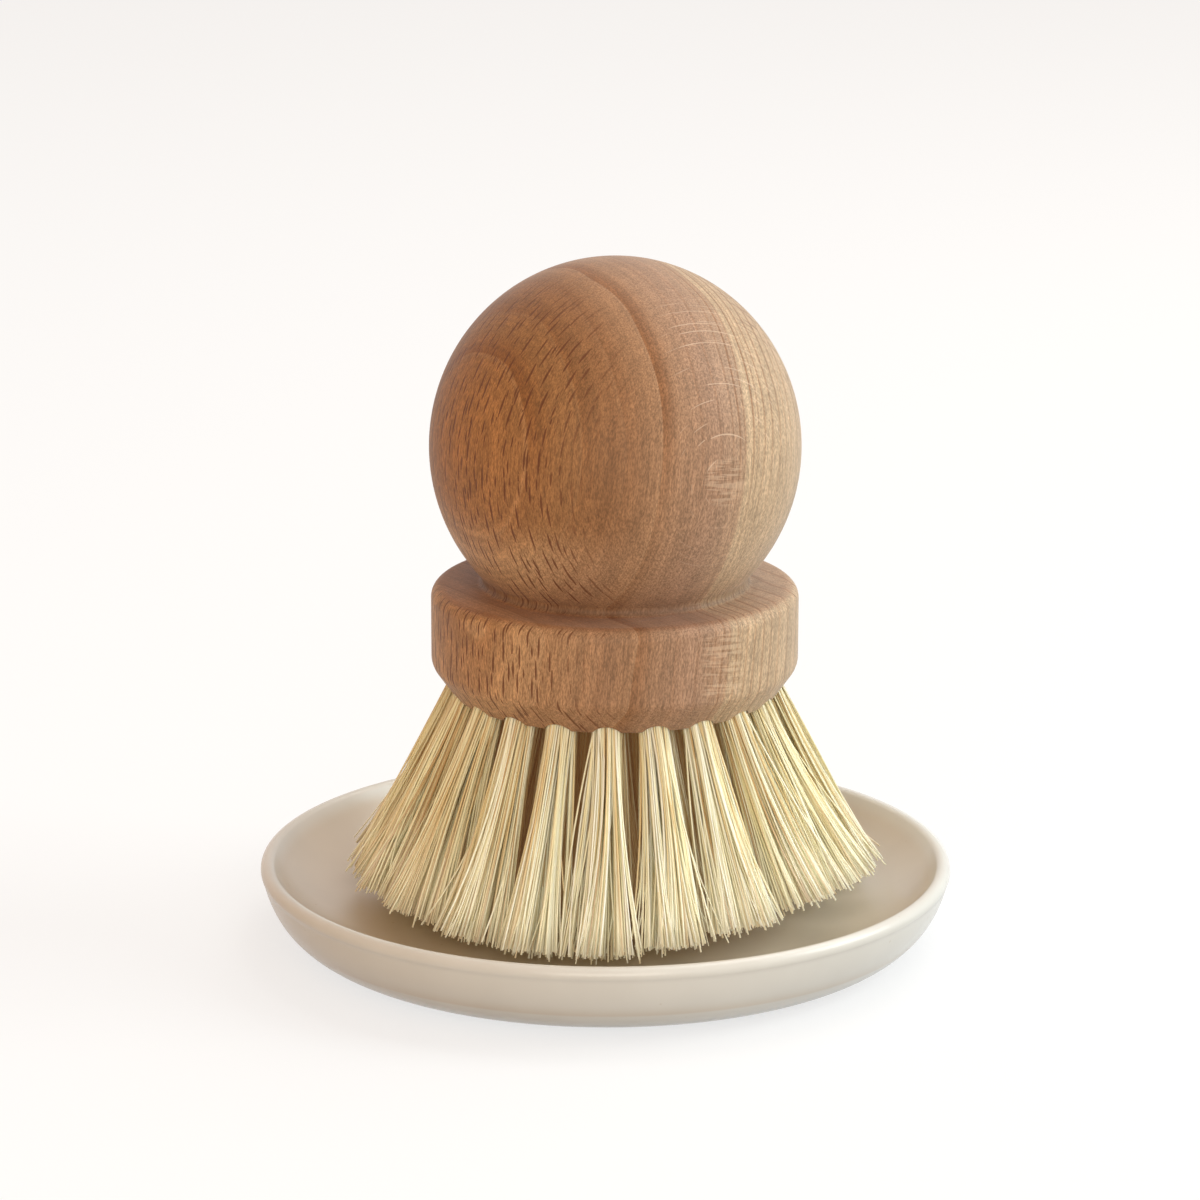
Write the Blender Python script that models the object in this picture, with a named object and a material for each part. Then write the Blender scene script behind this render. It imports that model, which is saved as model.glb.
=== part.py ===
"""Pot brush with a ball handle, standing in its round ceramic tray.

The handle is one turned piece of beech: a ball on a thick disc. The disc's underside is drilled with
rings of blind holes, and each hole holds one tuft of stiff plant fibre. A tuft is folded in half over a
flat wire anchor, which is driven to the bottom of the hole. The rings lean outwards, so the fibres fan.
The brush only stands in the tray and lifts straight out of it.

Lengths are in metres and angles in radians. Z points up, and the tray stands on Z = 0, centred on it.
"""

import math

import bmesh
import bpy
import numpy as np
from mathutils import Euler, Matrix, Vector

for old in list(bpy.data.objects):
    bpy.data.objects.remove(old, do_unlink=True)

# Driving dimensions of the ball and the neck
BALL_RADIUS = 0.0270
BALL_HALF_HEIGHT = 0.02755
NECK_RADIUS = 0.0181
NECK_FILLET = 0.0009

# Driving dimensions of the disc under the ball
DISC_RADIUS = 0.02685
DISC_HEIGHT = 0.0159
DISC_TOP_FILLET = 0.0020
BEVEL_WIDTH = 0.0030
BEVEL_HEIGHT = 0.0042
BEVEL_EASE = 0.0030
UNDERSIDE_EASE = 0.0004

# Driving dimensions of the drilled holes. The wood between holes is measured at their deep ends.
HOLE_RADIUS = 0.0024
HOLE_DEPTH = 0.0090
WOOD_BETWEEN_HOLES = 0.00085
OUTER_TILT = math.radians(22.0)
FRONT_TUFT_ANGLE = math.radians(-2.8)

# Driving dimensions of the fibre tufts and of the wire anchor in each
TUFT_CLEARANCE = 0.0003
FIBRE_LENGTH = 0.0321
STRAND_TIP_RADIUS = 0.00058
STRAND_GAP = 0.00025
PLUG_INSET = 0.0006
FOLD_RADIUS = 0.0015
FOLD_HEIGHT = 0.0008
ANCHOR_THICKNESS = 0.0004
ANCHOR_HEIGHT = 0.0020

# Driving dimensions of the tray
TRAY_RADIUS = 0.0508
TRAY_HEIGHT = 0.0122
TRAY_LIP_RADIUS = 0.0016
TRAY_LIP_STEP = 0.0003
TRAY_LIP_TURN = math.radians(145.0)
TRAY_FLOOR_THICKNESS = 0.0036
TRAY_WELL_RADIUS = 0.0310
FOOT_RADIUS = 0.0372
FOOT_RING_WIDTH = 0.0030
FOOT_RECESS = 0.0010
FOOT_EASE = 0.0005

# Where the brush stands in the tray, and its clearance from the tray's floor
BRUSH_TO_THE_RIGHT = 0.00128
BRUSH_TO_THE_BACK = 0.00282
STANDING_CLEARANCE = 0.0003

# The rings of tufts: the pitch circle as a share of the underside's flat radius, and strands in a tuft
OUTER_PITCH_SHARE = 0.942
MIDDLE_PITCH_SHARE = 0.643
INNER_PITCH_SHARE = 0.349
CENTRE_PITCH_SHARE = 0.0
OUTER_STRANDS = 13
MIDDLE_STRANDS = 10
INNER_STRANDS = 8

# How far strands spread on their plug's end and how thick they are there, as shares of its radius
ROOT_SPREAD_SHARE = 0.76
ROOT_RADIUS_SHARE = 0.145

# The control point of the tray's outer wall curve, as a share of the way from the foot to the lip
OUTER_WALL_SHARE = 0.825

# How finely round shapes are divided
HANDLE_STEPS = 48
TRAY_STEPS = 56
HOLE_SIDES = 12
PLUG_SIDES = 8
STRAND_SIDES = 3
CORNER_STEPS = 3
BALL_ARCS = 22
WALL_STEPS = 7
LIP_STEPS = 6
HALVINGS = 60
SMOOTH_ANGLE = math.radians(40.0)
GOLDEN_ANGLE = math.pi * (3.0 - math.sqrt(5.0))

# Cuts run past the surface that they open, and points of a turned shape that meet are made one
CUT_OVERRUN = 0.0030
WELD_DISTANCE = 0.000001

# Colour and roughness of each finish
BEECH = ((0.56, 0.33, 0.19), 0.55)
FIBRE = ((0.78, 0.70, 0.44), 0.65)
GLAZE = ((0.83, 0.80, 0.75), 0.22)

# Sizes that follow from those above
FLAT_RADIUS = DISC_RADIUS - BEVEL_WIDTH
BALL_CENTRE_ABOVE_DISC = BALL_HALF_HEIGHT * math.sqrt(1.0 - (NECK_RADIUS / BALL_RADIUS) ** 2)
BALL_CENTRE_HEIGHT = DISC_HEIGHT + BALL_CENTRE_ABOVE_DISC
PLUG_RADIUS = HOLE_RADIUS - TUFT_CLEARANCE
PLUG_DEPTH = HOLE_DEPTH - TUFT_CLEARANCE
TRAY_FLOOR_HEIGHT = FOOT_RECESS + TRAY_FLOOR_THICKNESS


def material(name, colour_and_roughness):
    """A Principled BSDF with one colour and one roughness, not metallic."""
    colour, roughness = colour_and_roughness
    made = bpy.data.materials.new(name)
    made.use_nodes = True
    shader = made.node_tree.nodes["Principled BSDF"]
    shader.inputs["Base Color"].default_value = (*colour, 1.0)
    shader.inputs["Roughness"].default_value = roughness
    shader.inputs["Metallic"].default_value = 0.0
    return made


def placed(name, mesh, parent=None):
    """An object of this mesh in the scene."""
    piece = bpy.data.objects.new(name, mesh)
    bpy.context.scene.collection.objects.link(piece)
    piece.parent = parent
    return piece


def mesh_of(name, shape, finish):
    """Turns a bmesh into a mesh, and frees it. Edges sharper than the smooth angle stay sharp."""
    mesh = bpy.data.meshes.new(name)
    shape.to_mesh(mesh)
    shape.free()
    mesh.materials.append(finish)
    mesh.shade_smooth()
    mesh.set_sharp_from_angle(angle=SMOOTH_ANGLE)
    return mesh


def corner_arc(before, corner, after, radius, steps):
    """Points of the arc that rounds a corner between two straight lines, tangent to both."""
    corner = Vector(corner)
    to_before = (Vector(before) - corner).normalized()
    to_after = (Vector(after) - corner).normalized()
    half_angle = to_before.angle(to_after) / 2.0
    centre = corner + (to_before + to_after).normalized() * (radius / math.sin(half_angle))
    tangent_length = radius / math.tan(half_angle)
    start = corner + to_before * tangent_length - centre
    end = corner + to_after * tangent_length - centre
    turn = math.pi - 2.0 * half_angle
    weights = [(math.sin(turn * (steps - i) / steps), math.sin(turn * i / steps)) for i in range(steps + 1)]
    return [centre + (start * a + end * b) / math.sin(turn) for a, b in weights]


def curve_points(start, control, end, steps):
    """Points of the quadratic curve that leaves start towards control and arrives at end from it."""
    start, control, end = Vector(start), Vector(control), Vector(end)
    shares = [i / steps for i in range(steps + 1)]
    return [start * (1 - t) ** 2 + control * (2 * t * (1 - t)) + end * t**2 for t in shares]


def turned(name, profile, steps, finish):
    """The closed shape that a profile of (radius, height) points sweeps round Z.

    The profile starts and ends on the axis."""
    shape = bmesh.new()
    points = [shape.verts.new((radius, 0, height)) for radius, height in profile]
    edges = [shape.edges.new(pair) for pair in zip(points, points[1:])]
    bmesh.ops.spin(
        shape,
        geom=points + edges,
        cent=(0, 0, 0),
        axis=(0, 0, 1),
        angle=math.tau,
        steps=steps,
        use_merge=True,
    )
    bmesh.ops.remove_doubles(shape, verts=shape.verts, dist=WELD_DISTANCE)
    bmesh.ops.recalc_face_normals(shape, faces=shape.faces)
    return mesh_of(name, shape, finish)


def ball_point(angle):
    """A point of the ball's profile, with the angle measured up from its widest circle."""
    return Vector((BALL_RADIUS * math.cos(angle), BALL_CENTRE_HEIGHT + BALL_HALF_HEIGHT * math.sin(angle)))


def ball_normal(angle):
    """The outward direction of the ball's profile at that angle."""
    return Vector((BALL_HALF_HEIGHT * math.cos(angle), BALL_RADIUS * math.sin(angle))).normalized()


def neck_angle():
    """Where on the ball its neck fillet starts: there a circle of the fillet's radius touches the ball
    and, on its other side, the disc's top. Found by halving the interval."""
    low, high = -math.pi / 2.0, 0.0
    for _ in range(HALVINGS):
        middle = (low + high) / 2.0
        centre = ball_point(middle) + ball_normal(middle) * NECK_FILLET
        if centre.y < DISC_HEIGHT + NECK_FILLET:
            low = middle
        else:
            high = middle
    return (low + high) / 2.0


def handle_profile():
    """The handle's half outline, from the ball's top down to the middle of the underside."""
    lowest = neck_angle()
    span = math.pi / 2.0 - lowest
    ball = [ball_point(math.pi / 2.0 - span * i / BALL_ARCS) for i in range(BALL_ARCS + 1)]
    ball[0].x = 0
    centre = ball[-1] + ball_normal(lowest) * NECK_FILLET
    towards_ball = (ball[-1] - centre).normalized()
    fillet_turn = towards_ball.angle(Vector((0, -1)))
    start_angle = math.atan2(towards_ball.y, towards_ball.x) % math.tau
    neck_angles = [start_angle + fillet_turn * i / CORNER_STEPS for i in range(1, CORNER_STEPS + 1)]
    neck = [centre + Vector((math.cos(a), math.sin(a))) * NECK_FILLET for a in neck_angles]
    top_corner = (DISC_RADIUS, DISC_HEIGHT)
    rim_corner = (DISC_RADIUS, BEVEL_HEIGHT)
    flat_corner = (FLAT_RADIUS, 0)
    middle = (0, 0)
    return (
        ball
        + neck
        + corner_arc(neck[-1], top_corner, rim_corner, DISC_TOP_FILLET, CORNER_STEPS + 1)
        + corner_arc(top_corner, rim_corner, flat_corner, BEVEL_EASE, CORNER_STEPS)
        + corner_arc(rim_corner, flat_corner, middle, UNDERSIDE_EASE, CORNER_STEPS - 1)
        + [Vector(middle)]
    )


def lip_point(angle):
    """A point of the tray's round lip, with the angle measured up from its outermost circle."""
    lip_centre = Vector((TRAY_RADIUS - TRAY_LIP_RADIUS, TRAY_HEIGHT - TRAY_LIP_RADIUS))
    return lip_centre + Vector((math.cos(angle), math.sin(angle))) * TRAY_LIP_RADIUS


def lip_and_inner_wall():
    """The part of the tray's outline that faces the brush: over the lip and down to the well's edge.

    The inner wall leaves the lip along the lip's own tangent and arrives level at the well's edge."""
    lip = [lip_point(TRAY_LIP_TURN * i / LIP_STEPS) for i in range(LIP_STEPS)]
    inner_lip = lip_point(TRAY_LIP_TURN)
    tangent_foot = inner_lip.x + (inner_lip.y - TRAY_FLOOR_HEIGHT) * math.tan(TRAY_LIP_TURN)
    inner_control = (tangent_foot, TRAY_FLOOR_HEIGHT)
    return lip + curve_points(inner_lip, inner_control, (TRAY_WELL_RADIUS, TRAY_FLOOR_HEIGHT), WALL_STEPS)


def tray_profile():
    """The tray's half outline: foot recess, foot ring, outer wall, lip, inner wall and floor.

    The lip is a round bead that stands out over the outer wall by a small step."""
    recess_middle = (0, FOOT_RECESS)
    recess_corner = (FOOT_RADIUS - FOOT_RING_WIDTH, FOOT_RECESS)
    ring_corner = (FOOT_RADIUS - FOOT_RING_WIDTH, 0)
    bead_start = -math.acos((TRAY_LIP_RADIUS - TRAY_LIP_STEP) / TRAY_LIP_RADIUS)
    wall_top = lip_point(bead_start)
    outer_control = (FOOT_RADIUS + (wall_top.x - FOOT_RADIUS) * OUTER_WALL_SHARE, 0)
    return (
        [Vector(recess_middle)]
        + corner_arc(recess_middle, recess_corner, ring_corner, FOOT_EASE, CORNER_STEPS - 1)
        + [Vector(ring_corner)]
        + curve_points((FOOT_RADIUS, 0), outer_control, wall_top, WALL_STEPS)
        + [lip_point(bead_start / 2.0)]
        + lip_and_inner_wall()
        + [Vector((0, TRAY_FLOOR_HEIGHT))]
    )


class Ring:
    """One ring of equal tufts: where its holes are, how they lean and how far its fibres fan."""

    def __init__(self, name, pitch_share, strands):
        self.name = name
        self.strands = strands
        self.pitch_radius = FLAT_RADIUS * pitch_share
        self.tilt = OUTER_TILT * pitch_share / OUTER_PITCH_SHARE
        deep_radius = self.pitch_radius - HOLE_DEPTH * math.sin(self.tilt)
        self.count = max(1, int(math.tau * deep_radius / (2.0 * HOLE_RADIUS + WOOD_BETWEEN_HOLES)))
        self.tip_radius = self.pitch_radius + FIBRE_LENGTH * math.sin(self.tilt)

    def places(self):
        """The place and turn of each hole, in the brush's frame. The first is near the front."""
        for i in range(self.count):
            angle = math.tau * i / self.count - math.pi / 2.0 + FRONT_TUFT_ANGLE
            place = Vector((math.cos(angle), math.sin(angle), 0)) * self.pitch_radius
            yield place, Euler((0, -self.tilt, angle))

    def fan(self, rings):
        """Half the width of the tuft at its tips, outwards and round the ring.

        Outwards it reaches half way to the next ring. Round the ring it is the ellipse that touches the
        two planes between this tuft and its neighbours."""
        margin = STRAND_TIP_RADIUS + STRAND_GAP / 2.0
        spacings = [abs(self.tip_radius - other.tip_radius) for other in rings if other is not self]
        outwards = min(spacings) / 2.0 - margin
        if self.count == 1:
            return outwards, outwards
        half_sector = math.pi / self.count
        reach = math.sqrt(self.tip_radius**2 - outwards**2)
        return outwards, reach * math.tan(half_sector) - margin / math.cos(half_sector)


def strand_shares(count):
    """Points spread evenly over a disc of radius 1, as the seeds of a sunflower are."""
    return [
        Vector((math.cos(i * GOLDEN_ANGLE), math.sin(i * GOLDEN_ANGLE))) * math.sqrt((i + 0.5) / count)
        for i in range(count)
    ]


def least_root_gap(count):
    """The least clear gap between two strands of a tuft at their roots, where they are closest."""
    places = strand_shares(count)
    apart = min((a - b).length for i, a in enumerate(places) for b in places[:i])
    return PLUG_RADIUS * (ROOT_SPREAD_SHARE * apart - 2.0 * ROOT_RADIUS_SHARE)


def loop_of(shape, centre, radius, sides, turn=0.0):
    """The points and edges of a regular polygon that lies square to Z."""
    angles = [turn + math.tau * i / sides for i in range(sides)]
    points = [
        shape.verts.new(Vector(centre) + Vector((math.cos(a), math.sin(a), 0)) * radius) for a in angles
    ]
    edges = [shape.edges.new((points[i - 1], points[i])) for i in range(sides)]
    return points, edges


def joined_by_walls(shape, first, second):
    """Four-sided faces between two loops of as many points."""
    for i in range(len(first)):
        shape.faces.new((first[i - 1], first[i], second[i], second[i - 1]))


def anchor_mesh(finish):
    """The flat wire that pins a folded tuft, lying across the hole and edge on to its mouth."""
    shape = bmesh.new()
    bmesh.ops.create_cube(shape, size=1.0)
    size = Vector((2.0 * PLUG_RADIUS, ANCHOR_THICKNESS, ANCHOR_HEIGHT))
    bmesh.ops.scale(shape, vec=size, verts=shape.verts)
    middle_height = PLUG_DEPTH - FOLD_HEIGHT - ANCHOR_HEIGHT / 2.0
    bmesh.ops.translate(shape, vec=(0, 0, middle_height), verts=shape.verts)
    return mesh_of("wire_anchor", shape, finish)


def tuft_mesh(ring, rings, finish):
    """One tuft in its own frame: +X points outwards from the brush and the fibres run down -Z.

    The packed fibres in the hole are a plug. Each strand starts on the plug's end, and its tip is its
    root stretched outwards and sideways by the ring's fan, so no two strands cross."""
    outwards, sideways = ring.fan(rings)
    shape = bmesh.new()
    mouth, cap_edges = loop_of(shape, (0, 0, PLUG_INSET), PLUG_RADIUS, PLUG_SIDES)
    fold, _ = loop_of(shape, (0, 0, PLUG_DEPTH), FOLD_RADIUS, PLUG_SIDES)
    joined_by_walls(shape, mouth, fold)
    shape.faces.new(fold)
    root_spread = PLUG_RADIUS * ROOT_SPREAD_SHARE
    root_radius = PLUG_RADIUS * ROOT_RADIUS_SHARE
    for share in strand_shares(ring.strands):
        root_place = (share.x * root_spread, share.y * root_spread, PLUG_INSET)
        tip_place = (share.x * outwards, share.y * sideways, -FIBRE_LENGTH)
        turn = math.atan2(share.y, share.x)
        root, root_edges = loop_of(shape, root_place, root_radius, STRAND_SIDES, turn)
        tip, _ = loop_of(shape, tip_place, STRAND_TIP_RADIUS, STRAND_SIDES, turn)
        joined_by_walls(shape, root, tip)
        shape.faces.new(tip)
        cap_edges += root_edges
    bmesh.ops.triangle_fill(shape, edges=cap_edges, use_beauty=True, normal=(0, 0, -1))
    bmesh.ops.recalc_face_normals(shape, faces=shape.faces)
    return mesh_of("tuft_" + ring.name, shape, finish)


def united(first, second):
    """One mesh of two that overlap."""
    body = placed("united_body", first)
    helper = placed("united_helper", second)
    union = body.modifiers.new("union", "BOOLEAN")
    union.operation = "UNION"
    union.solver = "EXACT"
    union.object = helper
    graph = bpy.context.evaluated_depsgraph_get()
    mesh = bpy.data.meshes.new_from_object(body.evaluated_get(graph))
    mesh.name = first.name
    bpy.data.objects.remove(body)
    bpy.data.objects.remove(helper)
    return mesh


def drill_bits(rings, finish):
    """One cylinder for each hole, from its blind end to past the wood."""
    shape = bmesh.new()
    length = HOLE_DEPTH + CUT_OVERRUN
    for ring in rings:
        for place, turn in ring.places():
            bit = bmesh.ops.create_cone(
                shape,
                cap_ends=True,
                segments=HOLE_SIDES,
                radius1=HOLE_RADIUS,
                radius2=HOLE_RADIUS,
                depth=length,
            )["verts"]
            bmesh.ops.translate(shape, vec=(0, 0, HOLE_DEPTH - length / 2.0), verts=bit)
            bmesh.ops.transform(shape, matrix=Matrix.LocRotScale(place, turn, None), verts=bit)
    return mesh_of("drill_bits", shape, finish)


def well_surface():
    """Radii and heights of the surface in the tray that the brush stands over, from the well's edge to
    the lip. The middle of a facet is nearer to the axis than its ends, so the radii are those of middles."""
    wall = np.array(lip_and_inner_wall())[::-1]
    return wall[:, 0] * math.cos(math.pi / TRAY_STEPS), wall[:, 1]


def height_over_the_tips(rings):
    """How high the underside is where the lowest of the strands' tips just touches the tray's inside.

    Each tip is compared with the tray's surface on the side where the brush stands nearest to the wall."""
    surface_radii, surface_heights = well_surface()
    off_axis = math.hypot(BRUSH_TO_THE_RIGHT, BRUSH_TO_THE_BACK)
    needed = []
    for ring in rings:
        outwards, _ = ring.fan(rings)
        cosine, sine = math.cos(ring.tilt), math.sin(ring.tilt)
        for share in strand_shares(ring.strands):
            middle = share.x * outwards
            outermost = off_axis + ring.tip_radius + middle * cosine + STRAND_TIP_RADIUS
            drop = FIBRE_LENGTH * cosine + (STRAND_TIP_RADIUS - middle) * sine
            needed.append(np.interp(outermost, surface_radii, surface_heights) + drop)
    return float(max(needed))


def height_over_the_wall(rings):
    """How high the underside is where the outermost fibres just touch the tray's wall or lip.

    In a section through the tray's axis the outermost fibres are one straight line. It is compared with
    the wall, on the side where the brush stands nearest to it, at each point of the wall that lies under
    the line and at the line's tip."""
    outer = rings[0]
    outwards, _ = outer.fan(rings)
    half_tip = outwards + STRAND_TIP_RADIUS
    off_axis = math.hypot(BRUSH_TO_THE_RIGHT, BRUSH_TO_THE_BACK)
    cosine, sine = math.cos(outer.tilt), math.sin(outer.tilt)
    root_radius = off_axis + outer.pitch_radius + PLUG_RADIUS * cosine
    tip_radius = off_axis + outer.tip_radius + half_tip * cosine
    root_height = PLUG_RADIUS * sine
    tip_height = half_tip * sine - FIBRE_LENGTH * cosine
    wall_radii, wall_heights = well_surface()
    radii = np.append(wall_radii[wall_radii < tip_radius], tip_radius)
    fibres = np.interp(radii, (root_radius, tip_radius), (root_height, tip_height))
    return float(np.max(np.interp(radii, wall_radii, wall_heights) - fibres))


def build():
    """Makes the tray, the brush's axis and every piece of the brush on it."""
    rings = [
        Ring("outer", OUTER_PITCH_SHARE, OUTER_STRANDS),
        Ring("middle", MIDDLE_PITCH_SHARE, MIDDLE_STRANDS),
        Ring("inner", INNER_PITCH_SHARE, INNER_STRANDS),
        Ring("centre", CENTRE_PITCH_SHARE, INNER_STRANDS),
    ]
    beech = material("beech", BEECH)
    fibre = material("fibre", FIBRE)
    glaze = material("glaze", GLAZE)

    placed("tray", turned("tray", tray_profile(), TRAY_STEPS, glaze))

    touching_height = max(height_over_the_tips(rings), height_over_the_wall(rings))
    underside_height = STANDING_CLEARANCE + touching_height
    brush_axis = bpy.data.objects.new("brush_axis", None)
    bpy.context.scene.collection.objects.link(brush_axis)
    brush_axis.location = (BRUSH_TO_THE_RIGHT, BRUSH_TO_THE_BACK, underside_height)

    bits = placed("drill_bits", drill_bits(rings, beech), brush_axis)
    bits.hide_render = True
    bits.display_type = "WIRE"
    handle = placed("handle", turned("handle", handle_profile(), HANDLE_STEPS, beech), brush_axis)
    holes = handle.modifiers.new("drilled_holes", "BOOLEAN")
    holes.operation = "DIFFERENCE"
    holes.solver = "EXACT"
    holes.object = bits

    anchor = anchor_mesh(fibre)
    for ring in rings:
        mesh = united(tuft_mesh(ring, rings, fibre), anchor)
        for number, (place, turn) in enumerate(ring.places(), start=1):
            tuft = placed(f"tuft_{ring.name}_{number:02d}", mesh, brush_axis)
            tuft.location = place
            tuft.rotation_euler = turn
        gap = least_root_gap(ring.strands)
        print(ring.name, ring.count, "tufts of", ring.strands, "strands, least gap between two", gap)
    print("the underside stands at", underside_height)
    bpy.context.view_layer.update()


build()
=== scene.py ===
# %% [markdown]
# # A pot brush that stands in its tray
#
# The object is three kinds of thing: a handle turned from one piece of beech, forty-three tufts of stiff
# plant fibre drawn into holes in its underside, and a glazed ceramic saucer that catches the drips.
# The engineering model already has each of them in its place and at its real size. This script loads
# that model as a frame, and then makes the surfaces that a camera should see.

# %% Load the engineering model
import math

import bpy
import numpy as np
from mathutils import Matrix, Vector


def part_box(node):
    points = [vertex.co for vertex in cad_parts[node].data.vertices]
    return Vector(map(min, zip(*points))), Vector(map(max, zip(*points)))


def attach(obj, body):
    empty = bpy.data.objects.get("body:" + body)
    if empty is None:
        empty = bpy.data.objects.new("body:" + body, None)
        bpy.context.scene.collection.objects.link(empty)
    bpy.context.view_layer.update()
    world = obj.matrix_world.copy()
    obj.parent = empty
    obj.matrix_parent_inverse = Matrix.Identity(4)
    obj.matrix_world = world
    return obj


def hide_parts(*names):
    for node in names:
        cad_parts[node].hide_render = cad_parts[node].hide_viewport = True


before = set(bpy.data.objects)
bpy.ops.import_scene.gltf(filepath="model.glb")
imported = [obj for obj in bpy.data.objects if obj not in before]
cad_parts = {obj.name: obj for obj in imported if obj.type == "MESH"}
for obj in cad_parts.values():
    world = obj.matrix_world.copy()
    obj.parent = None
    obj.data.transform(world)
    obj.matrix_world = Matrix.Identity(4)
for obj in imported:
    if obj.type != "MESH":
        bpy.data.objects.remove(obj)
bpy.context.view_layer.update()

MILLIMETRE = 0.001
print("pieces in the frame:", len(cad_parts))

# %% [markdown]
# ## The camera
#
# A photograph fixes a camera by what lines up in it. The widest circle of the ball, the rim of the disc
# and the lip of the tray are all circles of known size, so their outlines give the camera's height, its
# downward tilt and its distance. It is a long lens from far away, which is why the ellipses look so flat.
# The two small angles are the photographer's hand: the picture is turned by a tenth of a degree.

# %% Place the camera
CAMERA_PLACE = (-0.00019, -0.6939, 0.2395)
CAMERA_DOWN = 0.265
CAMERA_TURN = 0.001
CAMERA_ROLL = 0.002
SENSOR_WIDTH = 36.0
IMAGE_PIXELS = 1200
FOCAL_PIXELS = 4938.9

turned_down = Matrix.Rotation(math.pi / 2 - CAMERA_DOWN, 4, "X") @ Matrix.Rotation(CAMERA_ROLL, 4, "Z")
camera = bpy.data.objects.new("camera", bpy.data.cameras.new("camera"))
bpy.context.scene.collection.objects.link(camera)
camera.matrix_world = (
    Matrix.Translation(CAMERA_PLACE) @ Matrix.Rotation(CAMERA_TURN, 4, "Z") @ turned_down
)
camera.data.sensor_width = SENSOR_WIDTH
camera.data.lens = SENSOR_WIDTH * FOCAL_PIXELS / IMAGE_PIXELS
bpy.context.scene.camera = camera
print("lens in millimetres:", round(camera.data.lens, 1))

# %% [markdown]
# ## Light
#
# The photograph has a big cool window on the right and the warm light of a room on the left and in front.
# One large lamp stands for the window and one for the front of the room. A third hangs high behind: the
# tray's near side is bright inside on the right, and only light from there gets in over the fibres. The
# left of the room is only a warm tint of the world, further down. Large lamps give soft edges to shadows,
# and the fibres need that: a small lamp would draw every one of them as a hard line.

# %% Hang three soft lamps
LAMP_AIM = Vector((0.0, 0.0, 0.045))
# Each lamp's place and side in metres, its power in watts and its colour.
LAMPS = {
    "window_right": ((0.76, 0.0, 0.50), 0.50, 4.6, (0.88, 0.99, 1.0)),
    "room_front": ((0.02, -0.86, 0.24), 0.60, 3.8, (1.0, 0.94, 0.83)),
    "high_behind": ((0.30, 0.34, 0.82), 0.60, 3.0, (1.0, 0.98, 0.94)),
}


def soft_lamp(name, place, side, watts, colour):
    """A square lamp that faces the object."""
    lamp = bpy.data.objects.new(name, bpy.data.lights.new(name, "AREA"))
    lamp.data.size = side
    lamp.data.energy = watts
    lamp.data.color = colour
    lamp.location = place
    lamp.rotation_euler = (LAMP_AIM - Vector(place)).to_track_quat("-Z", "Y").to_euler()
    lamp.visible_camera = False
    bpy.context.scene.collection.objects.link(lamp)


for lamp_name, settings in LAMPS.items():
    soft_lamp(lamp_name, *settings)
bpy.context.scene.view_settings.view_transform = "Standard"
print("lamps:", ", ".join(LAMPS))

# %% [markdown]
# ## Shader nodes
#
# The world and every material are trees of nodes. A script has to add and connect them one at a time, and
# a few helpers keep that readable: `node` adds a node and connects what it is given, and the others are
# the sums and mixtures that come up all the time.

# %% Add and connect nodes
WHITE = (1.0, 1.0, 1.0, 1.0)


def emptied(owner):
    """The node tree of a world or a material, with nothing in it."""
    owner.use_nodes = True
    owner.node_tree.nodes.clear()
    return owner.node_tree


def node(tree, kind, inputs=None, **settings):
    """Adds a shader node. A socket takes a number, a colour or another node's output."""
    made = tree.nodes.new("ShaderNode" + kind)
    for name, value in settings.items():
        setattr(made, name, value)
    for socket, value in (inputs or {}).items():
        if isinstance(value, bpy.types.NodeSocket):
            tree.links.new(value, made.inputs[socket])
        else:
            made.inputs[socket].default_value = value
    return made


def maths(tree, operation, *values, clamp=False):
    """The output of a Math node on one, two or three values."""
    inputs = dict(enumerate(values))
    return node(tree, "Math", inputs, operation=operation, use_clamp=clamp).outputs[0]


def product(tree, first, *others):
    """Two or more values multiplied together."""
    for value in others:
        first = maths(tree, "MULTIPLY", first, value)
    return first


def mixed(tree, factor, first, second, blend="MIX"):
    """Two colours mixed by a factor."""
    made = node(tree, "Mix", {0: factor, 6: first, 7: second}, data_type="RGBA", blend_type=blend)
    return made.outputs[2]


def seen_directly(tree):
    """1 for rays from the camera, from a mirror-like reflection and through glass, and 0 for the rest."""
    path = node(tree, "LightPath")
    straight = maths(tree, "ADD", path.outputs["Is Camera Ray"], path.outputs["Is Glossy Ray"], clamp=True)
    return maths(tree, "ADD", straight, path.outputs["Is Transmission Ray"], clamp=True)


# %% [markdown]
# ## Background
#
# The object was photographed on plain white. The world shows white to rays that come from the camera,
# from mirrors and through glass. All other rays see a dimmer world, so the white background adds no light
# to the object. That dimmer world goes from the warm room on the left to the cool window on the right.

# %% Make the world
WORLD_GREY = 0.58
ROOM_TINT = (1.0, 0.49, 0.12, 1.0)
WINDOW_TINT = (0.93, 0.97, 1.0, 1.0)
TINT_CHANGES = {"From Min": -0.6, "From Max": 0.4}

world = bpy.data.worlds.new("studio")
tree = emptied(world)
direction = node(tree, "TexCoord").outputs["Generated"]
sideways = node(tree, "SeparateXYZ", {0: direction}).outputs["X"]
from_left = node(tree, "MapRange", {"Value": sideways, **TINT_CHANGES}).outputs["Result"]
room = mixed(tree, from_left, ROOM_TINT, WINDOW_TINT)
ambient = node(tree, "Background", {"Color": room, "Strength": WORLD_GREY}).outputs[0]
backdrop = node(tree, "Background", {"Color": WHITE, "Strength": 1.0}).outputs[0]
sky = node(tree, "MixShader", {0: seen_directly(tree), 1: ambient, 2: backdrop}).outputs[0]
node(tree, "OutputWorld", {"Surface": sky})
bpy.context.scene.world = world
print("world strength away from the camera:", WORLD_GREY)

# %% [markdown]
# ## Floor
#
# A floor that is simply white and lit would come out grey in the picture. This one glows white to the
# same rays, and mixes in some real diffuse, which is what keeps the shadow under the tray. To the light
# that goes on to the object it is a plain mid grey.

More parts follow.
